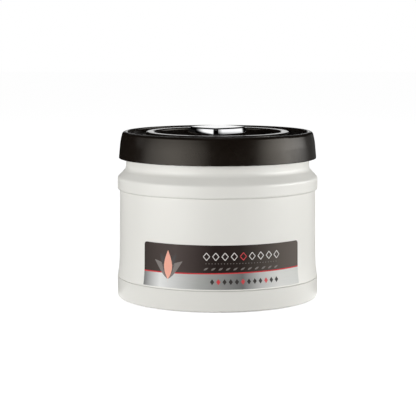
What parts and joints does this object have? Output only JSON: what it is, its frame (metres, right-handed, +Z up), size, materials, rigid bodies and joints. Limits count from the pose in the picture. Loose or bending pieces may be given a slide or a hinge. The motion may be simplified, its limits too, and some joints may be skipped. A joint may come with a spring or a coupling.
{
  "type": "vacuum seal canister",
  "caption": "Round white food canister with a steel liner and a black lift-off lid that holds a chrome press-pump button and a small air release valve.",
  "frame": {"origin": "middle of the underside, on the surface that the foot ring stands on", "axes": "+Z up along the axis of the canister, -Y towards the label, +X to its right"},
  "size_m": [0.151, 0.151, 0.1277],
  "materials": {
    "white_plastic": "satin moulded, off-white",
    "liner_steel": "spun and brushed round the axis",
    "foot_rubber": "matte soft grey",
    "label_print": "printed foil, dark panel over a silver band",
    "black_plastic": "satin moulded, brown-black",
    "housing_plastic": "plain moulded, pale grey",
    "silicone": "soft milky silicone",
    "seal_rubber": "black nitrile rubber",
    "spring_steel": "bright drawn wire",
    "screw_steel": "zinc plated",
    "chrome": "mirror bright plating",
    "release_plastic": "glossy moulded, light grey"
  },
  "bodies": {
    "canister": {"outer_shell": "white_plastic", "inner_liner": "liner_steel", "base_cap": "white_plastic", "foot_ring": "foot_rubber", "label": "label_print"},
    "lid": {"lid_cover": "black_plastic", "deck_plate": "black_plastic", "pump_housing": "housing_plastic", "lid_gasket": "silicone", "housing_screws": "screw_steel", "intake_valve": "silicone", "filter_screen": "liner_steel", "filter_cap": "housing_plastic", "return_spring": "spring_steel", "release_spring": "spring_steel"},
    "plunger": {"push_button": "chrome", "button_core": "housing_plastic", "pump_piston": "housing_plastic", "piston_ring": "seal_rubber", "exhaust_valve": "silicone"},
    "release_valve": {"release_button": "release_plastic", "release_seal": "silicone", "release_clip": "screw_steel"}
  },
  "joints": [
    {"name": "lid_lift", "type": "slide", "parent": "canister", "child": "lid", "axis": [0, 0, 1], "range_m": [0, 0.08]},
    {"name": "button_press", "type": "slide", "parent": "lid", "child": "plunger", "axis": [0, 0, -1], "range_m": [0, 0.008], "stiffness_N_per_m": 660, "springref_m": -0.0075, "deforming": ["return_spring"]},
    {"name": "release_press", "type": "slide", "parent": "lid", "child": "release_valve", "axis": [0, 0, -1], "range_m": [0, 0.0025], "stiffness_N_per_m": 1650, "springref_m": -0.002, "deforming": ["release_spring"]}
  ]
}
